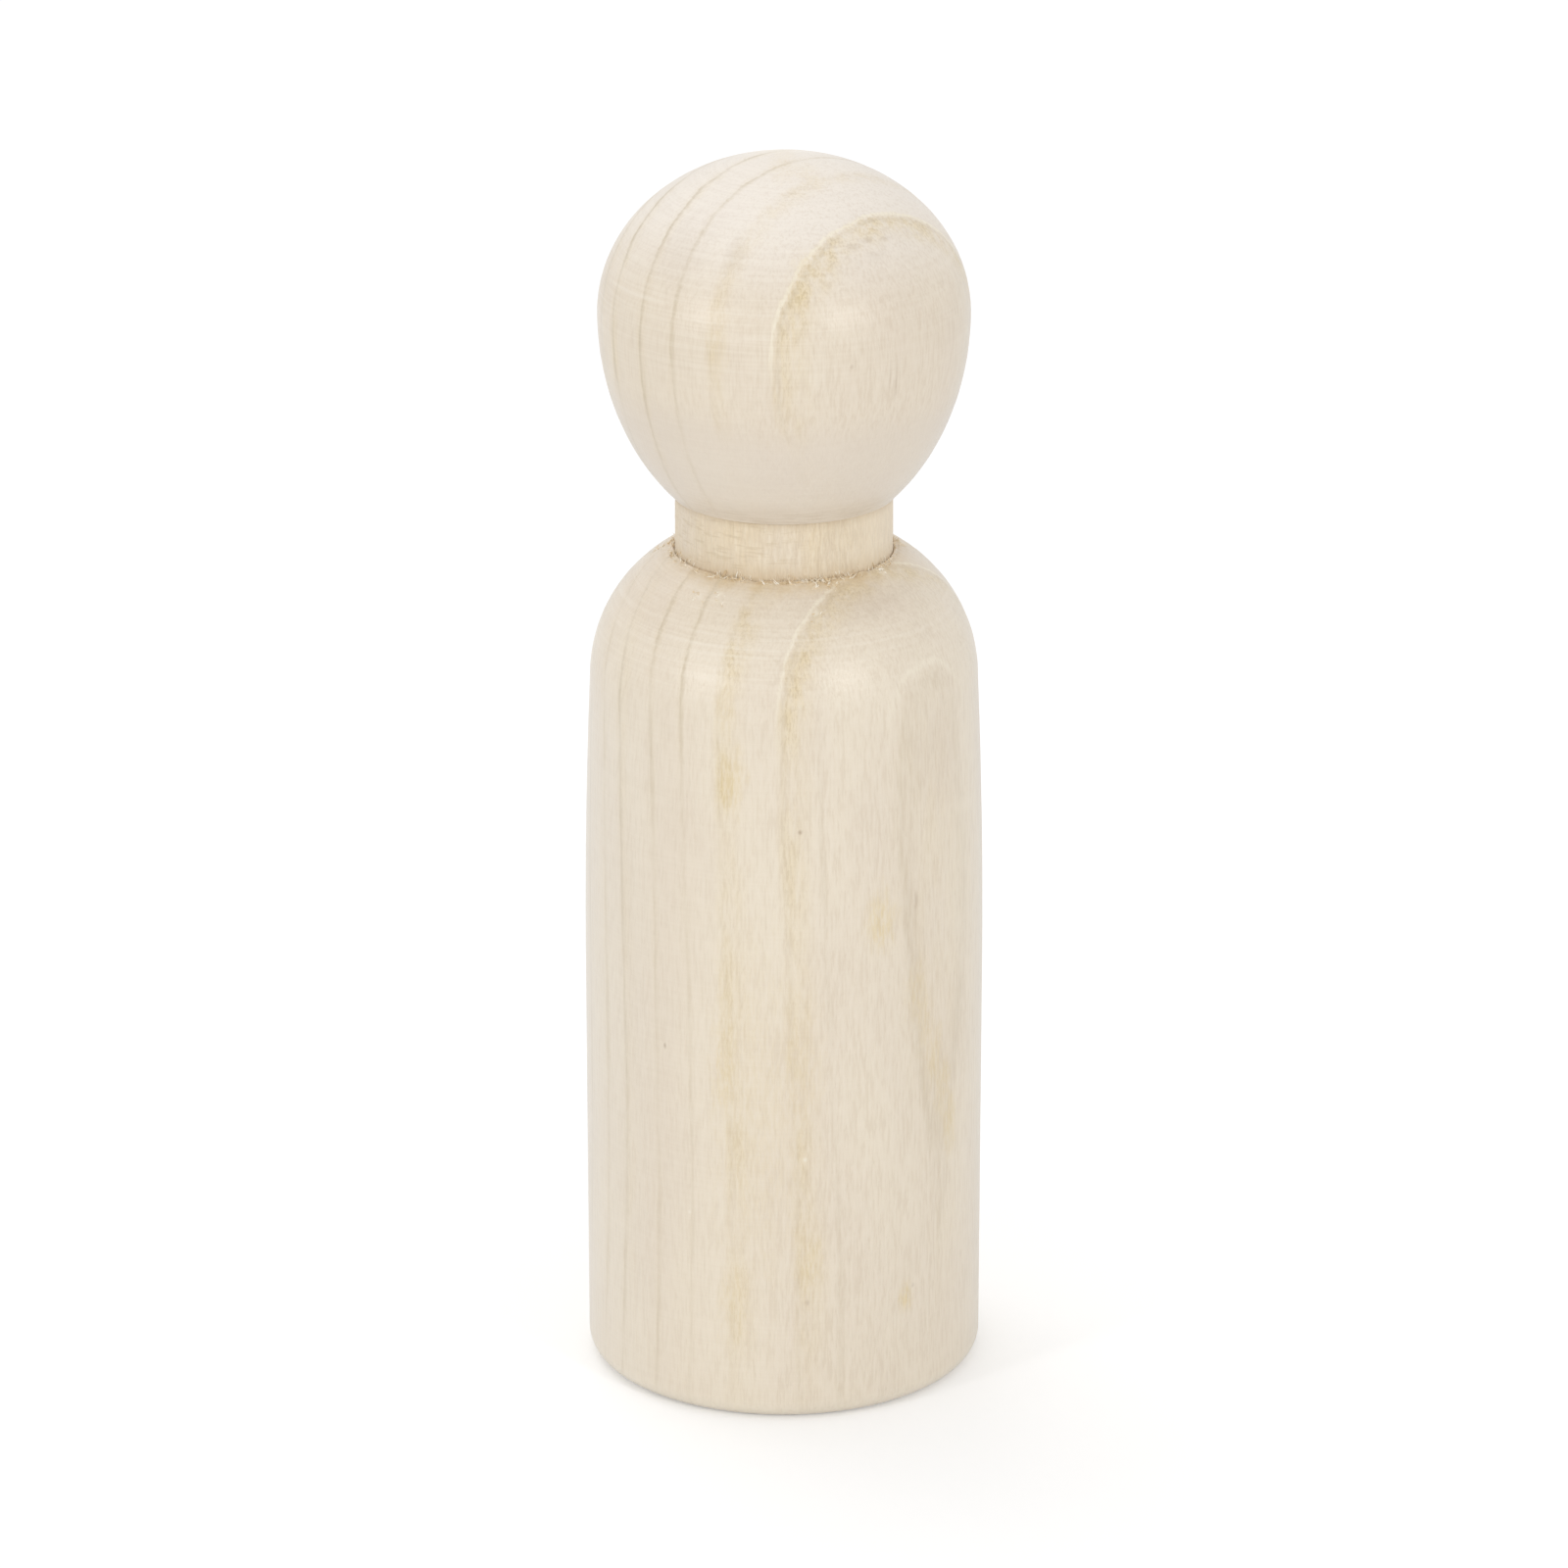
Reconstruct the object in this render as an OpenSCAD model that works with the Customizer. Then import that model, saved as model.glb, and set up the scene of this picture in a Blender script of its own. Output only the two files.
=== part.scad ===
// Turned wooden peg doll, standing on a flat base.
// Three pieces of pale softwood: a round head, a plain dowel whose middle
// shows as the neck, and a body with a round shoulder. The dowel is glued
// into a blind socket in the head and another in the body.
// Millimetres, +Z up, origin at the middle of the base.

/* [Body] */
// Largest diameter of the body
body_d = 28.7; // [24:0.1:34]
// Height of the body, from the base to the lip round the neck
body_h = 61.5; // [50:0.1:80]
// Height of the straight lower part of the body
straight_h = 30; // [5:0.5:36]
// How much the radius narrows from the straight part to the shoulder
body_taper = 0.5; // [0:0.05:2]
// Radius of the round shoulder, seen from the side
shoulder_round = 10.85; // [8.5:0.05:11.5]
// Radius that rounds the edge of the base
base_round = 1.5; // [0.4:0.1:3]

/* [Head] */
// Largest diameter of the head
head_d = 26.2; // [22:0.1:32]
// Height of the head above its widest place
head_top_h = 11.15; // [8:0.05:16]
// Height of the head from its underside to its widest place
head_low_h = 13.15; // [12:0.05:20]
// Width of the flat ring under the head, round the neck
head_ring_w = 0.15; // [0.05:0.05:1]

/* [Neck dowel] */
// Diameter of the dowel
dowel_d = 15.5; // [12:0.1:18]
// Length of the neck between the lip of the body and the head
neck_h = 4.2; // [2:0.1:10]
// Depth of the socket in the body, below the lip
body_socket_depth = 12; // [6:0.5:20]
// Depth of the socket in the head
head_socket_depth = 9.5; // [6:0.5:11]
// Bevel on both ends of the dowel
dowel_bevel = 1; // [0.3:0.1:2]

/* [Fits] */
// Gap for the glue, all round the dowel
glue_gap = 0.05; // [0.02:0.01:0.2]
// Width of the groove at the foot of the neck
groove_w = 0.45; // [0.3:0.05:1.5]
// Depth of the groove at the foot of the neck
groove_depth = 0.35; // [0.2:0.05:1.5]
// Radius of the dimple that the drill's point leaves in each socket
dimple_r = 1.5; // [0.5:0.1:3]
// Depth of that dimple
dimple_depth = 1; // [0.3:0.1:2]

/* [Hidden] */

// Steps along each curved stretch of an outline
round_steps = 8;
taper_steps = 8;
shoulder_steps = 20;
head_steps = 28;
turned_fn = 96;

body_r = body_d / 2;
shoulder_r = body_r - body_taper;
head_r = head_d / 2;
dowel_r = dowel_d / 2;
socket_r = dowel_r + glue_gap;
lip_r = dowel_r + groove_w;
ring_r = socket_r + head_ring_w;

// Centre of the shoulder's arc, which starts upright and ends at the lip
arc_r = shoulder_r - shoulder_round;
arc_z = body_h - sqrt(pow(shoulder_round, 2) - pow(lip_r - arc_r, 2));
arc_end = acos((lip_r - arc_r) / shoulder_round);

// Heights above the base
head_base_z = body_h + neck_h;
head_wide_z = head_base_z + head_low_h;
dowel_low_z = body_h - body_socket_depth;
dowel_top_z = head_base_z + head_socket_depth;
dowel_len = dowel_top_z - dowel_low_z;

// The head's lower half is an ellipse that is cut off by the flat ring:
// its own half height follows from the ring's radius.
head_low_axis = head_low_h / sqrt(1 - pow(ring_r / head_r, 2));
head_cut_angle = asin(head_low_h / head_low_axis);

sanded_colour = [0.91, 0.86, 0.78];
dowel_colour = [0.89, 0.83, 0.73];

// Half outline of a socket with its floor at height zero, from the dimple
// that the drill's point leaves out to the foot of the wall. A facing of 1 is
// for a socket that opens upwards and -1 for one that opens downwards.
function socket_floor(facing) = [
    [0, -facing * dimple_depth],
    [dimple_r, 0],
    [socket_r, 0]
];

// The same points, lifted
function lifted(points, z) = [for (p = points) [p[0], p[1] + z]];

function reversed(points) = [for (i = [len(points) - 1 : -1 : 0]) points[i]];

// Half outline of the body, as [radius, height] points: up the outside, over
// the shoulder to the lip, into the groove and down the socket
function body_outline() = concat(
    [[0, 0]],
    [for (i = [0 : round_steps])
        let (a = 90 * i / round_steps)
        [body_r - base_round * (1 - sin(a)), base_round * (1 - cos(a))]],
    [for (i = [0 : taper_steps])
        let (t = i / taper_steps)
        [body_r - body_taper * t * t, straight_h + (arc_z - straight_h) * t]],
    [for (i = [1 : shoulder_steps])
        let (a = arc_end * i / shoulder_steps)
        [arc_r + shoulder_round * cos(a), arc_z + shoulder_round * sin(a)]],
    [[socket_r, body_h - groove_depth]],
    reversed(lifted(socket_floor(1), dowel_low_z))
);

// Half outline of the head: up the socket's floor, down its wall, round the
// outside and over the crown. A tall half ellipse lies below the widest
// place and a shorter one above it.
function head_outline() = concat(
    lifted(socket_floor(-1), dowel_top_z),
    [[socket_r, head_base_z]],
    [for (i = [0 : head_steps - 1])
        let (a = head_cut_angle * (i / head_steps - 1))
        [head_r * cos(a), head_wide_z + head_low_axis * sin(a)]],
    [for (i = [0 : head_steps - 1])
        let (a = 90 * i / head_steps)
        [head_r * cos(a), head_wide_z + head_top_h * sin(a)]],
    [[0, head_wide_z + head_top_h]]
);

// Half outline of the dowel, with both ends bevelled
function dowel_outline() = [
    [0, 0],
    [dowel_r - dowel_bevel, 0],
    [dowel_r, dowel_bevel],
    [dowel_r, dowel_len - dowel_bevel],
    [dowel_r - dowel_bevel, dowel_len],
    [0, dowel_len]
];

module turned(outline) {
    rotate_extrude($fn = turned_fn)
        polygon(outline);
}

module body() {
    color(sanded_colour)
        turned(body_outline());
}

module neck_dowel() {
    color(dowel_colour)
        translate([0, 0, dowel_low_z])
            turned(dowel_outline());
}

module head() {
    color(sanded_colour)
        turned(head_outline());
}

body();
neck_dowel();
head();
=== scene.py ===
# %% [markdown]
# # A turned peg doll
# The real thing is a plain doll of pale wood with a round head, a short neck and a tall
# body with a round shoulder. Each piece was turned on a lathe, sanded and left bare.
# One could model it with a few cylinders and spheres, but then the light would show
# nothing of the wood. Here every piece is an outline that is carried once round the
# axis on a fine grid, so that growth rings, tool marks and torn fibres are real relief,
# and the colour comes from a solid wood pattern that runs through all the pieces.
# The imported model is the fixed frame: all places below are in its metres.

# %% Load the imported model
import bpy
import numpy as np
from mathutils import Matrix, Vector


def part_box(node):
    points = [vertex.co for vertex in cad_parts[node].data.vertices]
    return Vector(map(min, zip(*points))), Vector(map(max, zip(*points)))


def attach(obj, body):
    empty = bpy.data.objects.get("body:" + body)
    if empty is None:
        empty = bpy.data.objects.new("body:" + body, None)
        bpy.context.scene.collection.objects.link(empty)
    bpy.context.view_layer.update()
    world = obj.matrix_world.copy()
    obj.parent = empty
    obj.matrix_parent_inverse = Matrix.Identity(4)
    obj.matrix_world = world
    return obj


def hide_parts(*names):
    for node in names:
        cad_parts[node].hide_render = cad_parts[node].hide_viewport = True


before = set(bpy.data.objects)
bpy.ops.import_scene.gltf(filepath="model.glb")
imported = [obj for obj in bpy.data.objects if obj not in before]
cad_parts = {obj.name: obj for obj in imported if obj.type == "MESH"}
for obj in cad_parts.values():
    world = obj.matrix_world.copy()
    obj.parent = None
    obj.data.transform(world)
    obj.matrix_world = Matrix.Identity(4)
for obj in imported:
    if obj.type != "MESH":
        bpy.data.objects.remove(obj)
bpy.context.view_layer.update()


def new_object(name, data):
    """An object with the given data, shown in the scene."""
    made = bpy.data.objects.new(name, data)
    bpy.context.scene.collection.objects.link(made)
    return made


# %% [markdown]
# ## The camera
# The photograph looks down at the doll by 20 degrees, from about five and a half
# doll heights away: that is what bends the edge of the base and the foot of the neck
# as much as they are bent. The camera stands at that place. A longer lens than the
# photographer's would give the same perspective with the doll larger in the picture,
# so the lens is only as long as the framing needs.

# %% Place the camera
look_down = np.radians(20)
camera_away = 0.500
aim_height = 0.0436
camera_data = bpy.data.cameras.new("camera")
camera_data.lens = 160
camera_data.sensor_width = 36
camera = new_object("camera", camera_data)
camera.location = (0, -camera_away * np.cos(look_down),
                   aim_height + camera_away * np.sin(look_down))
camera.rotation_euler = (np.pi / 2 - look_down, 0, 0)
bpy.context.scene.camera = camera
bpy.context.scene.view_settings.view_transform = "Standard"
print("camera at", tuple(round(v, 4) for v in camera.location))

# %% [markdown]
# ## A small bench for nodes
# Every finish below is a tree of nodes. Adding them by hand takes a line for each
# node and each link, so a little helper does both: where it is given a number it sets
# the socket, and where it is given another socket it draws the link.

# %% Helper that adds and wires nodes
class NodeBench:
    """Adds nodes to one tree. A value is either a number or the socket to link."""

    def __init__(self, tree):
        self.tree = tree

    def wire(self, value, socket):
        if isinstance(value, bpy.types.NodeSocket):
            self.tree.links.new(value, socket)
        else:
            socket.default_value = value

    def add(self, kind, values=None, **settings):
        node = self.tree.nodes.new(kind)
        for name, setting in settings.items():
            setattr(node, name, setting)
        for place, value in (values or {}).items():
            self.wire(value, node.inputs[place])
        return node

    def math(self, operation, *values, clamp=False):
        numbered = dict(enumerate(values))
        return self.add("ShaderNodeMath", numbered, operation=operation,
                        use_clamp=clamp).outputs[0]

    def times(self, first, second, clamp=False):
        return self.math("MULTIPLY", first, second, clamp=clamp)

    def times_plus(self, first, factor, more):
        return self.math("MULTIPLY_ADD", first, factor, more)

    def plus(self, first, second):
        return self.math("ADD", first, second)

    def minus(self, first, second):
        return self.math("SUBTRACT", first, second)

    def vector(self, operation, *values):
        numbered = dict(enumerate(values))
        return self.add("ShaderNodeVectorMath", numbered, operation=operation).outputs[0]

    def ramp(self, value, start, end, low=0.0, high=1.0):
        """A smooth step: low up to start, high from end on, an S curve between."""
        values = {0: value, 1: start, 2: end, 3: low, 4: high}
        return self.add("ShaderNodeMapRange", values,
                        interpolation_type="SMOOTHSTEP").outputs[0]

    def between(self, value, start, full, fading, end):
        """One from full to fading, and a smooth step down to zero on both sides."""
        return self.times(self.ramp(value, start, full), self.ramp(value, fading, end, 1.0, 0.0))

    def mix(self, amount, first, second):
        values = {0: amount, 6: first, 7: second}
        return self.add("ShaderNodeMix", values, data_type="RGBA").outputs[2]

    def noise(self, place, stretch, detail=2.0, roughness=0.5):
        """Noise whose cells are small where the stretch is large."""
        values = {"Vector": self.vector("MULTIPLY", place, stretch), "Scale": 1.0,
                  "Detail": detail, "Roughness": roughness}
        return self.add("ShaderNodeTexNoise", values).outputs[0]

    def split(self, place):
        """The x, y and z of a place."""
        return self.add("ShaderNodeSeparateXYZ", {0: place}).outputs

    def from_axis(self, x, y):
        """The distance from the upright axis: the length of the vector x, y."""
        level = self.add("ShaderNodeCombineXYZ", {0: x, 1: y}).outputs[0]
        length = self.add("ShaderNodeVectorMath", {0: level}, operation="LENGTH")
        return length.outputs["Value"]

    def group(self, tree, **values):
        node = self.add("ShaderNodeGroup", node_tree=tree)
        for name, value in values.items():
            self.wire(value, node.inputs[name])
        return node.outputs


def colour(red, green, blue):
    """Screen values from 0 to 255 as linear light: the usual curve, a power of 2.4
    above the darkest tones."""
    screen = np.array([red, green, blue]) / 255
    linear = np.where(screen < 0.04045, screen / 12.92, ((screen + 0.055) / 1.055) ** 2.4)
    return (*linear.tolist(), 1.0)


def new_group(name, inputs, outputs):
    """A node group with named float, vector or colour sockets, and its bench."""
    kinds = {"value": "NodeSocketFloat", "vector": "NodeSocketVector", "colour": "NodeSocketColor"}
    tree = bpy.data.node_groups.new(name, "ShaderNodeTree")
    for label, kind in inputs.items():
        tree.interface.new_socket(name=label, in_out="INPUT", socket_type=kinds[kind])
    for label, kind in outputs.items():
        tree.interface.new_socket(name=label, in_out="OUTPUT", socket_type=kinds[kind])
    bench = NodeBench(tree)
    return tree, bench, bench.add("NodeGroupInput").outputs, bench.add("NodeGroupOutput").inputs


def new_finish(name):
    """A material, its bench, its shader and the place in the wood in millimetres."""
    finish = bpy.data.materials.new(name)
    finish.use_nodes = True
    bench = NodeBench(finish.node_tree)
    shader = finish.node_tree.nodes["Principled BSDF"]
    coordinates = bench.add("ShaderNodeTexCoord").outputs["Object"]
    return finish, bench, shader, bench.vector("MULTIPLY", coordinates, (1000, 1000, 1000))


print("cream wood as linear light", [round(v, 3) for v in colour(232, 219, 199)])

# %% [markdown]
# ## Floor and background
# The photograph has a pure white ground. The floor is a wide pale sheet that keeps
# the doll's soft shadow. Seen by the camera it gets a little more white of its own,
# which the Light Path node gives without any more light on the wood.

# %% Floor
floor_half = 3.0
floor_mesh = bpy.data.meshes.new("floor")
corners = np.array([(-1, -1, 0), (1, -1, 0), (1, 1, 0), (-1, 1, 0)]) * floor_half
floor_mesh.from_pydata(corners.tolist(), [], [(0, 1, 2, 3)])
floor = new_object("floor", floor_mesh)

floor_paint = bpy.data.materials.new("white_floor")
floor_paint.use_nodes = True
bench = NodeBench(floor_paint.node_tree)
paint = floor_paint.node_tree.nodes["Principled BSDF"]
path = bench.add("ShaderNodeLightPath")
paint.inputs["Base Color"].default_value = (0.88, 0.88, 0.88, 1)
paint.inputs["Roughness"].default_value = 1.0
paint.inputs["Specular IOR Level"].default_value = 0.0
paint.inputs["Emission Color"].default_value = (1, 1, 1, 1)
bench.wire(bench.times(path.outputs["Is Camera Ray"], 0.22), paint.inputs["Emission Strength"])
floor_mesh.materials.append(floor_paint)
print("floor", 2 * floor_half, "m wide")

# %% [markdown]
# ## Light
# The picture was lit as products usually are: a bright white room with two soft
# boxes. Their reflections say where they stood. The spot on the head and the right
# one on the shoulder point to a box about 40 degrees to the right, the left spot on
# the shoulder to one about 50 degrees to the left, both a little above the doll. A
# wide, weak panel in front adds a trace of light to the upright sides. A wide panel
# high behind makes the crown the palest place, and the head keeps that panel's light
# off the shoulder. The room itself is pure white to the camera and to reflections, but
# it lights the wood a little less, so that the boxes can model its roundness.

# %% White room
room = bpy.data.worlds.new("room")
room.use_nodes = True
bpy.context.scene.world = room
bench = NodeBench(room.node_tree)
path = bench.add("ShaderNodeLightPath")
seen = 0.0
for ray in ("Is Camera Ray", "Is Glossy Ray", "Is Transmission Ray"):
    seen = bench.math("MAXIMUM", path.outputs[ray], seen)
room_level = 0.715
level = bench.ramp(seen, 0.0, 1.0, room_level, 1.0)
background = room.node_tree.nodes["Background"]
background.inputs["Color"].default_value = (1, 1, 1, 1)
bench.wire(level, background.inputs["Strength"])
print("room level", room_level)

# %% Soft boxes
lamp_away = 0.80
lamp_aim = np.array([0, 0, 0.05])


def soft_box(name, turn, rise, width, watts):
    """A square lamp that faces the doll's middle. Its place is the middle plus the
    distance times the direction, turned from the camera's side to the right and
    raised above the level."""
    turn, rise = np.radians(turn), np.radians(rise)
    direction = np.array([np.sin(turn) * np.cos(rise), -np.cos(turn) * np.cos(rise), np.sin(rise)])
    data = bpy.data.lights.new(name, "AREA")
    data.shape = "SQUARE"
    data.size = width
    data.energy = watts
    lamp = new_object(name, data)
    lamp.location = lamp_aim + lamp_away * direction
    lamp.rotation_euler = (np.pi / 2 - rise, 0, turn)
    return lamp


lamps = [
    # name, degrees to the right, degrees up, width in metres, watts
    soft_box("right_box", 39, 21, 0.07, 0.91),
    soft_box("left_box", -50, 19, 0.09, 0.80),
    soft_box("front_panel", -12, 6, 0.50, 0.27),
    soft_box("back_panel", -152, 58, 0.60, 1.40),
]
print("lamps", [lamp.name for lamp in lamps])

# %% [markdown]
# ## Sizes
# The largest sizes are read from the frame. The rest are the same driving sizes that
# the construction uses, in millimetres, because a turner thinks of a doll in those.

# %% Driving sizes
mm = 0.001
body_low, body_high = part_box("body")
dowel_low, dowel_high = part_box("neck_dowel")
head_low, head_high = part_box("head")
body_r = body_high.x / mm
body_h = body_high.z / mm
dowel_r = dowel_high.x / mm
dowel_low_z = dowel_low.z / mm
dowel_top_z = dowel_high.z / mm
head_r = head_high.x / mm
head_top_z = head_high.z / mm

straight_h = 30.0
body_taper = 0.5
shoulder_round = 10.85
base_round = 1.5
head_top_h = 11.15
glue_gap = 0.05
groove_w = 0.45
groove_depth = 0.35
head_ring_w = 0.15
neck_h = 4.2
dimple_r = 1.5
dimple_depth = 1.0
dowel_bevel = 1.0

socket_r = dowel_r + glue_gap
lip_r = dowel_r + groove_w
ring_r = socket_r + head_ring_w
head_base_z = body_h + neck_h
head_wide_z = head_top_z - head_top_h
print("body", round(2 * body_r, 2), "mm wide,", round(body_h, 2), "mm tall; head",
      round(2 * head_r, 2), "mm wide; top at", round(head_top_z, 2), "mm")

# %% [markdown]
# ## Where the growth rings lie
# The blank was cut from the side of a trunk, so the rings cross the doll as nearly
# flat sheets that stand upright. A sheet shows as a line down the left of the doll
# and closes into an oval on its right, where the surface just touches it. The pattern
# is one number for each point in the wood: how far it lies towards the heart of the
# tree. The sheets bow a little, and lean as the tree did. The same formula is used
# twice, here for relief in the mesh and below as nodes for the colour.

# %% Ring formula
ring_turn = np.radians(48.2)
heart_away = 88.0
lean_height = 60.0
lean_span = 30.0
lean_curve = (0.48, -0.32, -0.30)
twist = (-0.075, -0.021)
spread = (-0.034, -0.041)


def ring_place(x, y, z):
    """Millimetres towards the heart of the tree: the distance across the sheets, less
    the bow, a square of the distance along them, plus a cubic lean with height, and
    a twist along and a spread across that change with height and its square."""
    across = x * np.sin(ring_turn) - y * np.cos(ring_turn)
    along = x * np.cos(ring_turn) + y * np.sin(ring_turn)
    up = (z - lean_height) / lean_span
    bow = along ** 2 / (2 * heart_away)
    lean = lean_curve[0] * up + lean_curve[1] * up ** 2 + lean_curve[2] * up ** 3
    turned = along * (twist[0] * up + twist[1] * up ** 2)
    spreading = across * (spread[0] * up + spread[1] * up ** 2)
    return across - bow + lean + turned + spreading


print("ring place at the front of the head", round(float(ring_place(0, -head_r, head_wide_z)), 2))

# %% [markdown]
# ## The rings themselves
# Each year's growth ends in a hard line. The list gives them from the bark side to
# the heart. A ring isn't equally dark all the way up, so each has a strength for the
# body, the shoulder, the burnished underside of the head and the head. Warm rings
# show as a soft grainy band and the others as a crisp line. The rings at the back
# are a guess of the same spacing.

# %% List of the rings
growth_rings = [
    # place, (body, shoulder, underside, head), fade on body and head, warmth, pale edge
    (-13.4, (0.50, 0.50, 0.50, 0.55), (0.8, 0.9), 0.3, 0.0),
    (-9.9, (0.70, 0.60, 0.50, 1.10), (0.9, 1.1), 0.2, 0.0),
    (-7.2, (0.75, 0.80, 0.60, 1.50), (0.6, 1.2), 0.4, 0.0),
    (-5.1, (1.00, 1.40, 0.85, 1.80), (1.8, 1.3), 0.3, 0.0),
    (-1.85, (0.65, 1.30, 1.00, 1.60), (0.7, 1.0), 0.3, 0.0),
    (0.95, (0.50, 1.30, 0.50, 1.40), (0.5, 0.5), 0.3, 0.0),
    (3.9, (1.15, 1.30, 0.10, 0.85), (2.3, 1.5), 0.9, 0.0),
    (8.1, (0.95, 1.80, 0.10, 2.10), (2.2, 2.0), 0.85, 1.0),
    (10.2, (0.35, 0.10, 0.00, 0.00), (0.5, 0.5), 0.0, 0.0),
    (13.4, (0.85, 0.40, 0.00, 0.45), (2.4, 1.0), 0.35, 0.8),
]
# Heights between which one strength gives way to the next
strength_steps = [(44.0, 55.0), (61.0, 66.0), (72.0, 77.0)]
print(len(growth_rings), "rings")

# %% [markdown]
# ## From an outline to a surface
# A lathe makes whatever an outline sweeps when it turns once round the axis. One
# could use Blender's Screw modifier, but then there would be no relief. Here the
# outline is a list of points, the turn is a row of angles, and together they make a
# grid on which every point can be moved a little before the mesh is made.

# %% Pieces of an outline


def straight(count, start, end):
    """Evenly spaced points from start to end, as radius and height."""
    return np.linspace(start, end, count)


def bend(count, first, last, centre, half_r, half_z):
    """Points on an ellipse: the centre plus the half widths times the cosine and the
    sine of an angle that runs evenly from first to last, in degrees."""
    angle = np.radians(np.linspace(first, last, count))
    return np.column_stack([centre[0] + half_r * np.cos(angle), centre[1] + half_z * np.sin(angle)])


def join(*runs):
    """The runs one after another, each without its first point, which repeats the
    last one of the run before."""
    return np.concatenate([runs[0]] + [run[1:] for run in runs[1:]])


def smooth_step(value, start, end):
    """Zero before start, one after end, an S curve between."""
    t = np.clip((value - start) / (end - start), 0, 1)
    return t * t * (3 - 2 * t)


print("a quarter circle:", bend(3, 0, 90, (0, 0), 1, 1).round(3).tolist())

# %% Noise on a grid


def grid_noise(u, v, cells_u, cells_v, seed):
    """Random numbers from -1 to 1 at the corners of a grid of cells, blended with an
    S curve inside each cell. u goes once round from 0 to 1 and closes, v runs 0 to 1."""
    corner = np.random.default_rng(seed).uniform(-1, 1, (cells_v + 2, cells_u))
    a = (u % 1.0) * cells_u
    b = np.clip(v, 0, 1) * cells_v
    i, j = np.floor(a).astype(int), np.floor(b).astype(int)
    s, t = smooth_step(a - i, 0, 1), smooth_step(b - j, 0, 1)
    left, right = i % cells_u, (i + 1) % cells_u
    low = corner[j, left] * (1 - s) + corner[j, right] * s
    high = corner[j + 1, left] * (1 - s) + corner[j + 1, right] * s
    return low * (1 - t) + high * t


def sheet_relief(x, y, z):
    """Depth of the fine valley along each ring line: a bell curve of the distance to
    the line, a quarter of a millimetre wide, times how dark the ring is."""
    place = ring_place(x, y, z)
    depth = np.zeros_like(place)
    for edge, strengths, *_ in growth_rings:
        dark = strengths[0] + np.zeros_like(place)
        for (start, end), strength in zip(strength_steps, strengths[1:]):
            dark += (strength - dark) * smooth_step(z, start, end)
        depth += dark * np.exp(-((place - edge) / 0.25) ** 2)
    return depth


sample = grid_noise(np.linspace(0, 1, 99), 0.5, 9, 3, 1)
print("a row of noise runs from", round(float(sample.min()), 2), "to", round(float(sample.max()), 2))

# %% Turn an outline into a closed mesh


def turned_piece(name, outline, steps, sink):
    """Carries an outline that starts and ends on the axis round it. Every point is
    sunk along the outline's own normal by sink(x, y, z, u, arc) millimetres. The two
    ends close in a point, and the length along the outline is kept as an attribute."""
    slope = np.gradient(outline, axis=0)
    normal = np.column_stack([slope[:, 1], -slope[:, 0]])
    normal /= np.linalg.norm(normal, axis=1, keepdims=True)
    arc = np.concatenate([[0], np.cumsum(np.linalg.norm(np.diff(outline, axis=0), axis=1))])
    rows = slice(1, len(outline) - 1)
    u = np.arange(steps) / steps
    angle = 2 * np.pi * u + np.pi / 2
    radius, height = outline[rows, 0:1], outline[rows, 1:2]
    x, y = radius * np.cos(angle), radius * np.sin(angle)
    z = height + 0 * angle
    depth = sink(x, y, z, u[None, :] + 0 * z, arc[rows, None] + 0 * z)
    flat_r = radius - depth * normal[rows, 0:1]
    grid = np.stack([flat_r * np.cos(angle), flat_r * np.sin(angle),
                     z - depth * normal[rows, 1:2]], axis=-1)
    points = np.concatenate([grid.reshape(-1, 3), [[0, 0, outline[0, 1]], [0, 0, outline[-1, 1]]]])
    count = len(outline) - 2
    first, last = count * steps, count * steps + 1
    row = np.arange(count - 1)[:, None] * steps
    j = np.arange(steps)
    after = (j + 1) % steps
    quads = np.stack([row + j, row + after, row + steps + after, row + steps + j], axis=-1)
    start_fan = np.stack([after, j, np.full(steps, first)], axis=-1)
    top = (count - 1) * steps
    end_fan = np.stack([top + j, top + after, np.full(steps, last)], axis=-1)
    mesh = bpy.data.meshes.new(name)
    faces = quads.reshape(-1, 4).tolist() + start_fan.tolist() + end_fan.tolist()
    mesh.from_pydata((points * mm).tolist(), [], faces)
    lengths = np.concatenate([np.repeat(arc[rows], steps), [arc[0], arc[-1]]])
    mesh.attributes.new("arc_mm", "FLOAT", "POINT").data.foreach_set("value", lengths)
    mesh.polygons.foreach_set("use_smooth", np.ones(len(mesh.polygons), bool))
    mesh.set_sharp_from_angle(angle=np.radians(40))
    piece = new_object(name, mesh)
    print(name, len(mesh.vertices), "points,", len(mesh.polygons), "faces")
    return piece


# %% [markdown]
# ## The body
# The real body was turned from a square stick: a flat base with its edge eased, a
# straight lower half, a slight taper, and a shoulder that is an arc of a circle.
# Sanding left it smooth, with faint ripples from the tool that only a highlight
# shows. The lip at the foot of the neck was cut last, with the point of a tool that
# tore the fibres, so its edge is ragged.

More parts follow.
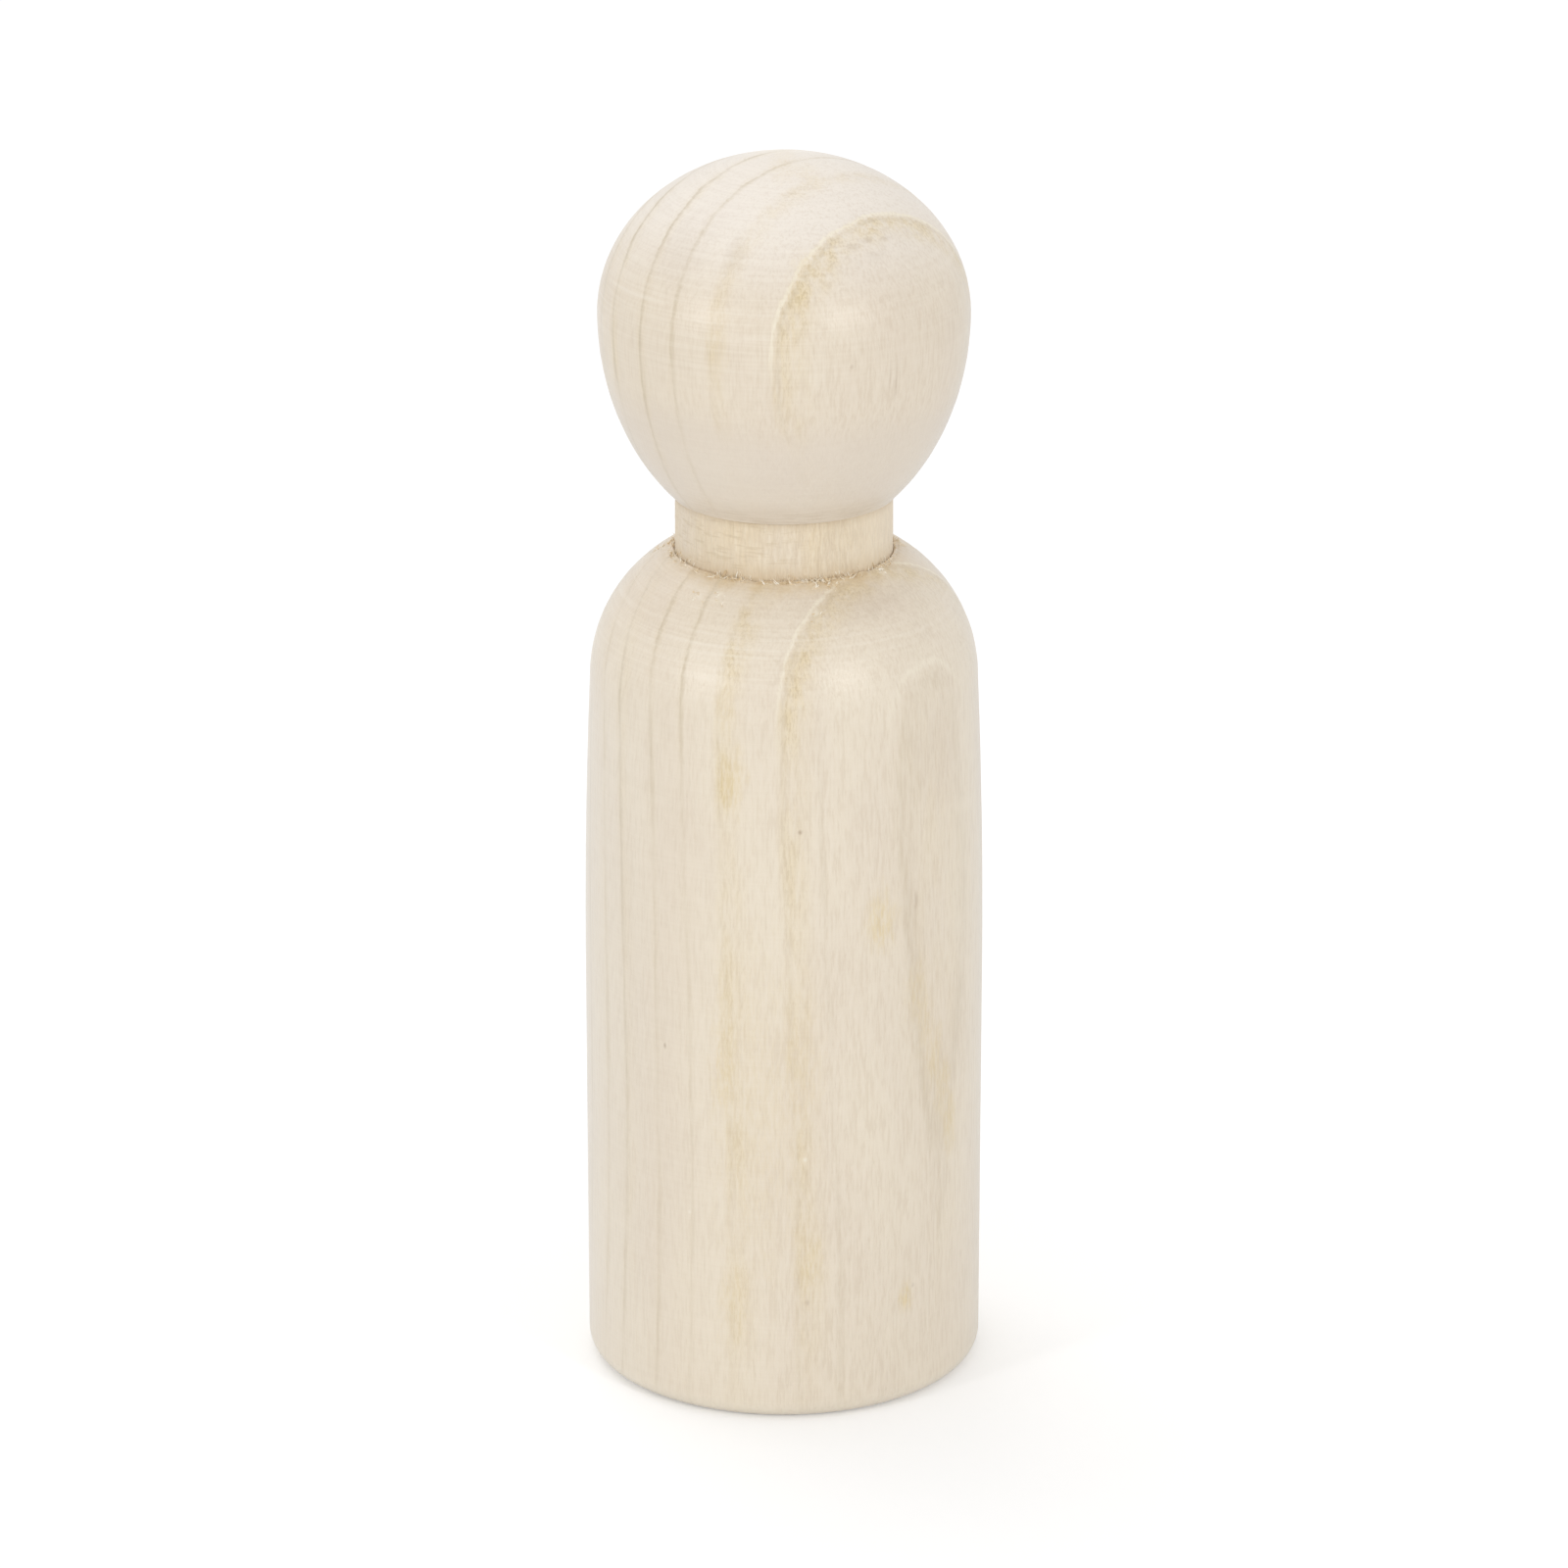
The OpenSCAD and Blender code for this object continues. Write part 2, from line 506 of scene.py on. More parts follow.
# %% Outline of the body
groove_seen = 0.4 * groove_depth  # dust and torn fibres fill the rest of the groove
crumbled_r = socket_r + 0.5 * (lip_r - socket_r)
shoulder_r = body_r - body_taper
arc_r = shoulder_r - shoulder_round
arc_z = body_h - np.sqrt(shoulder_round ** 2 - (lip_r - arc_r) ** 2)
arc_end = np.degrees(np.arccos((lip_r - arc_r) / shoulder_round))
rise = np.linspace(0, 1, 30)
body_outline = join(
    straight(12, (0, 0), (body_r - base_round, 0)),
    bend(12, -90, 0, (body_r - base_round, base_round), base_round, base_round),
    straight(26, (body_r, base_round), (body_r, straight_h)),
    np.column_stack([body_r - body_taper * rise ** 2, straight_h + (arc_z - straight_h) * rise]),
    bend(52, 0, arc_end, (arc_r, arc_z), shoulder_round, shoulder_round),
    straight(4, (lip_r, body_h), (crumbled_r, body_h - 0.1 * groove_seen)),
    straight(6, (crumbled_r, body_h - 0.1 * groove_seen), (socket_r, body_h - groove_seen)),
    straight(6, (socket_r, body_h - groove_seen), (socket_r, dowel_low_z)),
    straight(4, (socket_r, dowel_low_z), (dimple_r, dowel_low_z)),
    straight(3, (dimple_r, dowel_low_z), (0, dowel_low_z - dimple_depth)),
)
print("shoulder starts at", round(float(arc_z), 2), "mm;", len(body_outline), "rows")

# %% Turn the body
valley_depth = 0.009  # of a ring of strength one
sanded_off = 0.010
ripple_depth = 0.005
fibre_depth = 0.004


def sink_body(x, y, z, u, arc):
    """Relief on the outside only: ring valleys, tool ripples that go round, fibres,
    and a ragged lip where the fibres were torn, with a chip wherever a slow noise is
    high. Dust fills stretches of the groove, more of them at the sides, and packs
    the mouth of the socket close to the neck."""
    radius = np.hypot(x, y)
    outside = smooth_step(radius, socket_r + 0.02, socket_r + 0.3)
    side = smooth_step(z, 0.2, 2.0)
    ripple = grid_noise(u, arc / 100, 5, 120, 11) * ripple_depth
    fibre = grid_noise(u, z / body_h, 420, 30, 12) * fibre_depth
    crumble = grid_noise(u, arc / 100, 260, 260, 13) + grid_noise(u, arc / 100, 90, 200, 14)
    chips = smooth_step(grid_noise(u, arc / 100, 64, 100, 15), 0.3, 0.9)
    near_lip = np.exp(-((radius - lip_r) / 0.28) ** 2) * (z > body_h - 1.5)
    smooth = side * (valley_depth * sheet_relief(x, y, z) + sanded_off + ripple + fibre)
    dust = smooth_step(grid_noise(u, 0.5, 74, 1, 16) + 0.10 * np.abs(x) - 0.03 * x, 0.0, 0.7)
    in_groove = np.exp(-((radius - socket_r - 0.12) / 0.10) ** 2) * (z > body_h - 0.5)
    fill = 0.8 * groove_seen * in_groove * dust
    snug = 0.035 * (radius < socket_r + 0.02) * smooth_step(z, body_h - 1.2, body_h - 0.5)
    ragged_lip = near_lip * (0.04 + 0.04 * crumble + 0.09 * chips)
    return outside * (smooth + ragged_lip) - fill - snug


body = turned_piece("body_wood", body_outline, 560, sink_body)
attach(body, "root")
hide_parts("body")

# %% [markdown]
# ## The head
# The head is not a ball: its lower half is a taller ellipse than its upper half, and
# it ends in a narrow flat ring round the neck. The two curves share the widest place,
# so their join can't be seen. Inside is the socket for the dowel.

# %% Outline of the head
head_low_h = head_wide_z - head_base_z
head_low_axis = head_low_h / np.sqrt(1 - (ring_r / head_r) ** 2)
head_cut = np.degrees(np.arcsin(head_low_h / head_low_axis))
head_outline = join(
    straight(3, (0, dowel_top_z + dimple_depth), (dimple_r, dowel_top_z)),
    straight(4, (dimple_r, dowel_top_z), (socket_r, dowel_top_z)),
    straight(6, (socket_r, dowel_top_z), (socket_r, head_base_z)),
    straight(3, (socket_r, head_base_z), (ring_r, head_base_z)),
    bend(66, -head_cut, 0, (0, head_wide_z), head_r, head_low_axis),
    bend(62, 0, 90, (0, head_wide_z), head_r, head_top_h),
)
head_outline[-1, 0] = 0
print("underside at", round(head_base_z, 2), "mm, widest at", round(head_wide_z, 2), "mm")

# %% Turn the head


def sink_head(x, y, z, u, arc):
    """Relief on the outside: ring valleys, tool ripples and a trace of the fibres."""
    radius = np.hypot(x, y)
    outside = smooth_step(radius, ring_r - 0.1, ring_r + 0.4) + smooth_step(z, 86, 87)
    outside = np.clip(outside, 0, 1)
    ripple = grid_noise(u, arc / 70, 4, 90, 21) * ripple_depth
    fibre = grid_noise(u, z / 90, 400, 60, 22) * fibre_depth
    fade = smooth_step(radius, 0.0, 2.0)
    return outside * (valley_depth * sheet_relief(x, y, z) + sanded_off + fade * (ripple + fibre))


head = turned_piece("head_wood", head_outline, 576, sink_head)
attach(head, "root")
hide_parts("head")

# %% [markdown]
# ## The neck dowel
# Only 4 mm of the dowel shows. Nobody sanded it, so its fibres stand up as fine
# upright ridges, a few of them torn out. Rows are close together where it shows and
# far apart where it is hidden in the sockets.

# %% Outline of the dowel
seen_from, seen_to = body_h - 0.6, head_base_z + 0.1
dowel_outline = join(
    straight(4, (0, dowel_low_z), (dowel_r - dowel_bevel, dowel_low_z)),
    straight(3, (dowel_r - dowel_bevel, dowel_low_z), (dowel_r, dowel_low_z + dowel_bevel)),
    straight(6, (dowel_r, dowel_low_z + dowel_bevel), (dowel_r, seen_from)),
    straight(64, (dowel_r, seen_from), (dowel_r, seen_to)),
    straight(5, (dowel_r, seen_to), (dowel_r, dowel_top_z - dowel_bevel)),
    straight(3, (dowel_r, dowel_top_z - dowel_bevel), (dowel_r - dowel_bevel, dowel_top_z)),
    straight(4, (dowel_r - dowel_bevel, dowel_top_z), (0, dowel_top_z)),
)
print(len(dowel_outline), "rows")

# %% Turn the dowel


def sink_dowel(x, y, z, u, arc):
    """Upright ridges: noise with hundreds of cells round the neck and few along it,
    in two widths, and short pits where the wider noise is high. The left side was
    rubbed across the fibres: its ridges are lower and crossed by short level ones."""
    shown = smooth_step(z, seen_from, seen_from + 0.3) * (1 - smooth_step(z, seen_to - 0.15, seen_to))
    v = (z - seen_from) / (seen_to - seen_from)
    fine = grid_noise(u, v, 230, 4, 31)
    wide = grid_noise(u, v, 90, 3, 32)
    pits = smooth_step(grid_noise(u, v, 150, 9, 33), 0.45, 0.9)
    frayed = smooth_step(-z, -(body_h + 0.8), -(body_h - 0.1))
    level = grid_noise(u, v, 34, 24, 34)
    to_the_right = smooth_step(x, -3, 4)
    upright = (0.5 + 0.5 * to_the_right) * (0.016 * fine + 0.02 * pits)
    tight = 0.45 + 0.55 * smooth_step(z, body_h, body_h + 0.6)
    ridges = upright + 0.008 * wide + 0.012 * (1 - to_the_right) * level
    return shown * tight * (0.032 + ridges + 0.03 * frayed * pits)


dowel = turned_piece("neck_wood", dowel_outline, 760, sink_dowel)
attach(dowel, "root")
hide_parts("neck_dowel")

# %% [markdown]
# ## Torn fibres round the groove
# Where the tool's point cut the groove, splinters finer than a hair stayed behind:
# some hang from the foot of the neck, some stick up from the lip, and a few crumbs
# lie on the shoulder. They could be a hair system, but each is only a tapered sliver
# of wood, so all of them are made at once as a stack of small rings of three points
# that shrink towards a tip.

# %% Slivers as whole arrays


def slivers(root, direction, length, width, curl, seed):
    """Each sliver is three rings of three points and a tip. A ring's middle is the
    root plus a share of the length along the direction plus a bend that grows with
    the square of that share. Its corners stand off the middle by the width, which
    shrinks with the share. Returns points and faces."""
    rng = np.random.default_rng(seed)
    count = len(root)
    direction = direction / np.linalg.norm(direction, axis=1, keepdims=True)
    side = np.cross(direction, rng.normal(size=(count, 3)))
    side /= np.linalg.norm(side, axis=1, keepdims=True)
    third = np.cross(direction, side)
    share = np.array([0.0, 0.4, 0.75])
    angle = np.radians([0, 120, 240])
    middle = (root[:, None] + direction[:, None] * (length[:, None, None] * share[:, None])
              + side[:, None] * (curl * length[:, None, None] * share[:, None] ** 2))
    spoke = side[:, None] * np.cos(angle)[:, None] + third[:, None] * 0.6 * np.sin(angle)[:, None]
    thick = width[:, None] * (1 - 0.75 * share)
    rings = middle[:, :, None] + spoke[:, None] * thick[:, :, None, None]
    tip = root + direction * length[:, None] + side * curl * length[:, None]
    points = np.concatenate([rings.reshape(count, 9, 3), tip[:, None]], axis=1)
    one = [(2, 1, 0), (6, 7, 9), (7, 8, 9), (8, 6, 9)]
    for low in (0, 3):
        for k in range(3):
            after = (k + 1) % 3
            one.append((low + k, low + after, low + 3 + after))
            one.append((low + k, low + 3 + after, low + 3 + k))
    faces = np.array(one)[None] + 10 * np.arange(count)[:, None, None]
    return points.reshape(-1, 3), faces.reshape(-1, 3)


one_sliver = slivers(np.zeros((1, 3)), np.ones((1, 3)), np.ones(1), np.ones(1), 0, 1)
print("one sliver has", len(one_sliver[1]), "faces")

# %% Scatter the slivers
clump_turns = [-62, -36, -29, -22, -6, 4, 9, 21, 27, 33, 57, 63, 100, 128, 171, 199, 236, 262, 281]


def ring_of_roots(count, radius, height, seed):
    """Random places near a circle. Three out of four gather in clumps, three degrees
    wide, where the tool cut against the fibres."""
    rng = np.random.default_rng(seed)
    clump = rng.choice(clump_turns, count) + rng.normal(0, 3, count)
    angle = np.radians(np.where(rng.random(count) < 0.75, clump, rng.uniform(0, 360, count)) - 90)
    out = np.column_stack([np.cos(angle), np.sin(angle), np.zeros(count)])
    spin = np.column_stack([-np.sin(angle), np.cos(angle), np.zeros(count)])
    r = rng.uniform(*radius, count)
    place = out * r[:, None]
    place[:, 2] = rng.uniform(*height, count)
    return rng, out, spin, place


up = np.array([[0, 0, 1.0]])
hang_count, stand_count, crumb_count = 220, 380, 110
rng, out, spin, place = ring_of_roots(hang_count, (dowel_r - 0.06, dowel_r - 0.03),
                                      (body_h - 0.1, body_h + 0.5), 41)
lean_out = rng.uniform(0.1, 0.9, (hang_count, 1))
hanging = slivers(place, -up + lean_out * out + rng.normal(0, 0.25, (hang_count, 1)) * spin,
                  rng.uniform(0.25, 0.7, hang_count), rng.uniform(0.02, 0.05, hang_count), 0.2, 42)
rng, out, spin, place = ring_of_roots(stand_count, (crumbled_r - 0.1, lip_r + 0.1),
                                      (body_h - 0.14, body_h - 0.08), 43)
standing = slivers(place, 0.4 * up - rng.uniform(-0.5, 1.0, (stand_count, 1)) * out
                   + rng.normal(0, 0.9, (stand_count, 1)) * spin,
                   rng.uniform(0.25, 0.65, stand_count), rng.uniform(0.04, 0.09, stand_count), 0.45, 44)
# degrees to the right, millimetres outside the lip
crumb_heaps = np.array([[-38, 1.8], [-28, 1.5], [12, 2.3], [15, 0.4], [24, 0.4], [54, 0.2],
                        [98, 0.4], [170, 1.1], [215, 0.3], [262, 0.8]])
rng = np.random.default_rng(45)
heap = crumb_heaps[rng.integers(0, len(crumb_heaps), crumb_count)]
angle = np.radians(heap[:, 0] + rng.normal(0, 1.8, crumb_count) - 90)
r = lip_r + np.abs(heap[:, 1] + rng.normal(0, 0.22, crumb_count))
out = np.column_stack([np.cos(angle), np.sin(angle), np.zeros(crumb_count)])
spin = np.column_stack([-np.sin(angle), np.cos(angle), np.zeros(crumb_count)])
rise = np.sqrt(shoulder_round ** 2 - (r - arc_r) ** 2)
downhill = out - up * ((r - arc_r) / rise)[:, None]
lying = slivers(out * r[:, None] + up * (arc_z + rise - 0.03)[:, None],
                rng.normal(0, 1, (crumb_count, 1)) * spin + rng.normal(0, 0.6, (crumb_count, 1)) * downhill,
                rng.uniform(0.15, 0.40, crumb_count), rng.uniform(0.05, 0.10, crumb_count), 0.3, 46)
points, faces = np.zeros((0, 3)), np.zeros((0, 3), int)
for stack in (hanging, standing, lying):
    faces = np.concatenate([faces, stack[1] + len(points)])
    points = np.concatenate([points, stack[0]])
torn_mesh = bpy.data.meshes.new("torn_fibres")
torn_mesh.from_pydata((points * mm).tolist(), [], faces.tolist())
torn = new_object("torn_fibres", torn_mesh)
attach(torn, "root")
print("slivers:", len(points) // 10, "faces:", len(faces))

# %% [markdown]
# ## The ring pattern as nodes
# Now the same ring formula is built with Math nodes, so that the colour knows where
# each point lies between the rings. The group reads a place in millimetres.

# %% Group: place between the rings
ring_tree, bench, given, result = new_group("ring place", {"Place": "vector"}, {"Ring": "value"})
x, y, z = bench.split(given["Place"])
sine, cosine = float(np.sin(ring_turn)), float(np.cos(ring_turn))
across = bench.minus(bench.times(x, sine), bench.times(y, cosine))
along = bench.plus(bench.times(x, cosine), bench.times(y, sine))
up_node = bench.math("DIVIDE", bench.minus(z, lean_height), lean_span)
bow = bench.math("DIVIDE", bench.times(along, along), 2 * heart_away)
cubic = bench.times_plus(up_node, lean_curve[2], lean_curve[1])
cubic = bench.times_plus(up_node, cubic, lean_curve[0])
turned = bench.times(along, bench.times_plus(up_node, twist[1], twist[0]))
spreading = bench.times(across, bench.times_plus(up_node, spread[1], spread[0]))
slants = bench.plus(cubic, bench.plus(turned, spreading))
lean = bench.times(up_node, slants)
bench.wire(bench.plus(bench.minus(across, bow), lean), result["Ring"])
print("ring place group:", len(ring_tree.nodes), "nodes")

# %% [markdown]
# ## One ring, then all of them
# Seen close, a ring ends in a thin pale line of dense wood, then a sudden dark line,
# then a tone that fades towards the heart. One small group makes these three masks
# from the distance to the line, and the next places it for every ring of the list.
# Noise breaks the warm bands up along the grain, and they fade out near the foot.

# %% Group: one growth ring
one_tree, bench, given, result = new_group(
    "one growth ring",
    {"Distance": "value", "Fade": "value"},
    {"Line": "value", "Band": "value", "Pale": "value"})
edge = bench.ramp(given["Distance"], -0.12, 0.08)
thin = bench.ramp(given["Distance"], 0.06, 0.42, 1.0, 0.0)
bench.wire(bench.times(edge, thin), result["Line"])
rising = bench.ramp(given["Distance"], -0.55, 0.30)
falling = bench.ramp(bench.math("DIVIDE", given["Distance"], given["Fade"]), 0.15, 1.0, 1.0, 0.0)
bench.wire(bench.times(rising, falling), result["Band"])
before = bench.times(bench.ramp(given["Distance"], -0.42, -0.26),
                     bench.ramp(given["Distance"], -0.24, -0.10, 1.0, 0.0))
bench.wire(before, result["Pale"])
print("one ring group:", len(one_tree.nodes), "nodes")

# %% Group: all the growth rings
rings_tree, bench, given, result = new_group(
    "growth rings", {"Place": "vector"}, {"Line": "value", "Band": "value", "Pale": "value"})
ring = bench.group(ring_tree, Place=given["Place"])["Ring"]
slow = bench.noise(given["Place"], (0.5, 0.5, 0.05), 3.0)
quick = bench.noise(given["Place"], (4.0, 4.0, 0.6), 2.0)
ring = bench.plus(ring, bench.times_plus(slow, 0.5, -0.25))
ring = bench.plus(ring, bench.times_plus(quick, 0.30, -0.15))
height = bench.split(given["Place"])[2]
steps = [bench.ramp(height, start, end) for start, end in strength_steps]
line, band, pale = 0.0, 0.0, 0.0
for place, strengths, (fade_body, fade_head), warmth, pale_edge in growth_rings:
    dark = strengths[0]
    for step, strength in zip(steps, strengths[1:]):
        dark = bench.times_plus(step, bench.minus(strength, dark), dark)
    one = bench.group(one_tree, Distance=bench.minus(ring, place),
                      Fade=bench.ramp(steps[1], 0.0, 1.0, fade_body, fade_head))
    crisp = bench.times(one["Line"], 1 - 0.85 * warmth)
    line = bench.times_plus(crisp, dark, line)
    band = bench.times_plus(bench.times(one["Band"], warmth), dark, band)
    if pale_edge:
        pale = bench.times_plus(one["Pale"], pale_edge, pale)
patchy = bench.noise(given["Place"], (0.4, 0.4, 0.16), 3.0)
strength = bench.ramp(patchy, 0.30, 0.65, 0.45, 1.25)
bench.wire(bench.times(line, strength), result["Line"])
upper_body = bench.between(height, 47.0, 61.0, 62.0, 66.0)
shown = bench.plus(upper_body, bench.ramp(height, 76.0, 81.0))
ragged = bench.noise(given["Place"], (1.3, 1.3, 0.22), 3.0, 0.6)
torn_up = bench.times(strength, bench.ramp(ragged, 0.30, 0.66, 0.35, 1.45))
torn_up = bench.times(torn_up, bench.ramp(height, 3.0, 10.0, 0.30, 1.0))
bench.wire(bench.times(band, torn_up), result["Band"])
bench.wire(bench.times(pale, shown), result["Pale"])
print("growth rings group:", len(rings_tree.nodes), "nodes")

# %% [markdown]
# ## Fibres and pores
# Wood is a bundle of tubes that run up the trunk. On the sides they show as fine
# upright dashes, and on end grain as dots. Noise that is stretched along the height
# does both, because it is solid: the surface cuts it as the tool cut the wood. The
# dashes are plainest where the surface lies along the rings, on the right front, and
# least on the underside of the head, which was rubbed smooth. The group also masks
# the broad tones: the head is a little browner; the shoulder just under the head is
# painted darker, a painted shade from the head; the underside of the head is greyer,
# partly rubbed wood and partly painted shade; the crown is end grain full of fine dust,
# so it is dull, and it is painted paler, a painted glare; and the bark side of the body,
# on its left, is pale sapwood.

# %% Group: fibres
fibre_tree, bench, given, result = new_group(
    "wood fibres", {"Place": "vector"},
    {"Fibre": "value", "Grain": "value", "Pores": "value", "Cloud": "value", "Rough": "value",
     "Burnished and shaded": "value", "Toned and shaded": "value", "Dust and painted glare": "value", "Sapwood": "value"})
fine = bench.noise(given["Place"], (5.0, 5.0, 0.60), 2.0, 0.60)
broad = bench.noise(given["Place"], (1.6, 1.6, 0.12), 2.0)
blend = bench.times_plus(broad, 0.2, bench.times(fine, 0.8))
bench.wire(bench.ramp(blend, 0.32, 0.68), result["Fibre"])
grain = bench.noise(given["Place"], (5.2, 5.2, 1.1), 2.0, 0.7)
bench.wire(bench.ramp(grain, 0.38, 0.66), result["Grain"])
short = bench.noise(given["Place"], (5.0, 5.0, 1.3), 1.0)
bench.wire(bench.ramp(short, 0.64, 0.78), result["Pores"])
cloud = bench.noise(given["Place"], (0.16, 0.16, 0.06), 3.0)
bench.wire(bench.ramp(cloud, 0.35, 0.70), result["Cloud"])
x, y, z = bench.split(given["Place"])
across = bench.minus(bench.times(x, sine), bench.times(y, cosine))
facing_rings = bench.math("DIVIDE", across, bench.math("MAXIMUM", bench.from_axis(x, y), 1.0))
along_rings = bench.ramp(facing_rings, 0.1, 0.95, 0.70, 1.10)
uneven = bench.times_plus(cloud, 5.0, bench.minus(z, 2.5))
# the underside of the head: rubbed smooth, and painted greyer as painted shade
burnished = bench.times(bench.ramp(z, head_base_z - 0.1, head_base_z + 0.1),
                        bench.ramp(uneven, 72.0, 75.5, 1.0, 0.0))
bench.wire(bench.times(along_rings, bench.ramp(burnished, 0.0, 1.0, 1.0, 0.35)), result["Rough"])
bench.wire(burnished, result["Burnished and shaded"])
on_head = bench.between(z, 67.0, 74.0, 84.0, 89.0)
# painted shade: the shoulder just under the head is darker
shoulder_shade = bench.between(z, 55.5, 60.0, 62.0, 62.5)
bench.wire(bench.plus(on_head, shoulder_shade), result["Toned and shaded"])
# the crown: fine dust that makes it dull, and a painted glare that makes it paler
bench.wire(bench.ramp(z, 81.5, 88.0), result["Dust and painted glare"])
bark_side = bench.ramp(x, -13.5, -7.0, 1.0, 0.0)
below_shoulder = bench.ramp(z, 48.0, 56.0, 1.0, 0.0)
bench.wire(bench.times(bark_side, below_shoulder), result["Sapwood"])
print("fibre group:", len(fibre_tree.nodes), "nodes")

# %% [markdown]
# ## Marks of the lathe and the sandpaper
# The doll was sanded while it turned, so the scratches go round it: fine level lines
# that start and stop. Their pattern follows the surface, so it reads the length along
# the outline that each mesh carries, and squeezes the noise along that. A few plainer
# lines stand at known heights, on the shoulder and on the upper half of the head.

# %% Group: lathe marks
lathe_lines = [
    # height, strength
    (57.3, 1.2), (57.9, 1.6), (58.5, 0.9), (59.7, 0.6), (80.6, 0.9),
    (81.5, 0.6), (82.1, 1.1), (83.4, 0.7), (84.2, 1.2), (85.3, 0.6), (86.0, 0.9),
]
lathe_tree, bench, given, result = new_group(
    "lathe marks", {"Place": "vector"}, {"Ripple": "value", "Scratch": "value"})
arc = bench.add("ShaderNodeAttribute", attribute_name="arc_mm").outputs["Fac"]
x, y, z = bench.split(given["Place"])
unrolled = bench.add("ShaderNodeCombineXYZ", {0: x, 1: y, 2: arc}).outputs[0]


def round_noise(around, along, detail):
    """Noise with few cells round the piece and many along its outline."""
    return bench.noise(unrolled, (around, around, along), detail)


bench.wire(round_noise(0.02, 1.1, 1.0), result["Ripple"])
lines = 0.0
wobble = bench.plus(z, bench.times(round_noise(0.10, 0.3, 1.0), 0.6))
for height, strength in lathe_lines:
    off = bench.math("ABSOLUTE", bench.minus(wobble, height + 0.3))
    lines = bench.plus(lines, bench.ramp(off, 0.02, 0.20, strength, 0.0))
lines = bench.times(lines, bench.ramp(round_noise(0.22, 1.5, 2.0), 0.38, 0.60))
zone = bench.plus(bench.between(z, 53.0, 57.0, body_h - 0.1, body_h + 0.1),
                  bench.ramp(z, 75.0, 80.0))
scratch = bench.ramp(round_noise(0.14, 5.0, 2.0), 0.34, 0.66, -1.0, 1.0)
scratch = bench.times(scratch, bench.ramp(zone, 0.0, 1.0, 0.25, 0.7))
to_the_left = bench.ramp(x, -4.0, 9.0, 1.0, 0.45)
bench.wire(bench.times(bench.plus(scratch, lines), to_the_left), result["Scratch"])
print("lathe group:", len(lathe_tree.nodes), "nodes")

# %% [markdown]
# ## Warm patches and specks
# Here and there the wood holds a little resin or the start of a stain, a soft yellow
# or brown patch a few millimetres tall, and a few dark and pale specks. Each is placed
# by the side it faces, its height above the base and its size, and noise breaks up
# its edge. A large weak speck is a greyer cloud. The slanting tongue at the foot of
# the right oval is a row of patches.

# %% Group: warm patches
warm_patches = [
    # degrees to the right, height, half width, half height, strength
    (-15.7, 48.6, 1.1, 2.4, 0.75),
    (28.7, 37.9, 1.3, 2.5, 0.85),
    (4.5, 28.0, 1.8, 6.5, 0.35),
    (-16.0, 28.0, 1.3, 9.0, 0.35),
    (-6.0, 24.0, 3.8, 14.0, 0.26),
    (7.0, 12.5, 1.2, 3.4, 0.50),
    (-14.5, 9.5, 1.2, 4.0, 0.40),
    (37.7, 8.4, 0.75, 1.3, 1.0),
    (-20.0, 79.5, 0.7, 2.6, 0.30),
    (-64.0, 78.0, 0.5, 3.0, 0.30),
    (-1.0, 89.8, 1.0, 0.6, 0.30),
    (26.0, 89.5, 1.2, 0.6, 0.28),
    (-17.5, 53.5, 0.8, 3.0, 0.30),
    (-17.2, 26.4, 1.1, 3.4, 0.60),
    (9.0, 85.2, 1.2, 1.0, 0.35),
    (4.0, 83.4, 0.8, 1.6, 0.30),
    (34.0, 86.8, 1.5, 0.6, 0.32),
    (56.0, 86.7, 1.5, 0.5, 0.30),
]
tongue_share = np.linspace(0, 1, 5)
warm_patches += [(41 + 15 * s, 32 - 11 * s, 1.0, 2.8, 0.45 + 0.25 * s) for s in tongue_share.tolist()]
specks = [
    # degrees to the right, height, half width, half height, dark above zero and pale below
    (4.6, 45.1, 0.20, 0.22, 1.0),
    (6.7, 9.3, 0.16, 0.24, 0.40),
    (-36.1, 28.1, 0.16, 0.28, 0.8),
    (40.8, 38.9, 0.22, 0.80, 0.45),
    (40.3, 9.2, 0.24, 0.24, 0.45),
    (32.0, 60.2, 4.8, 1.3, 0.24),
    (-37.6, 60.4, 0.30, 0.22, -0.6),
    (-28.2, 60.7, 0.25, 0.20, -0.6),
    (12.5, 59.9, 0.30, 0.25, -0.8),
    (54.0, 61.4, 0.45, 0.30, -0.6),
    (-19.0, 85.7, 0.9, 1.1, 0.20),
    (28.0, 86.0, 0.70, 0.22, 0.26),
    (35.0, 86.2, 0.60, 0.18, 0.34),
    (44.0, 86.1, 0.70, 0.18, 0.28),
    (36.0, 85.3, 0.90, 0.35, 0.16),
    (36.4, 77.0, 0.14, 1.50, 0.34),
    (34.1, 77.3, 0.12, 1.20, 0.28),
    (20.8, 78.4, 0.16, 0.20, 0.40),
    (62.5, 82.5, 0.30, 0.30, 0.26),
    (48.0, 49.5, 2.6, 5.5, 0.12),
    (-42.0, 85.2, 2.6, 2.6, 0.17),
    (6.0, 20.4, 0.22, 0.22, -0.9),
    (-28.0, 15.7, 0.18, 0.18, -0.7),
]
patch_tree, bench, given, result = new_group(
    "warm patches", {"Place": "vector"}, {"Patch": "value", "Dark speck": "value", "Pale speck": "value"})
x, y, z = bench.split(given["Place"])
rough_edge = bench.noise(given["Place"], (1.5, 1.5, 0.5), 4.0, 0.65)
rough_edge = bench.times_plus(rough_edge, 2.0, -1.0)


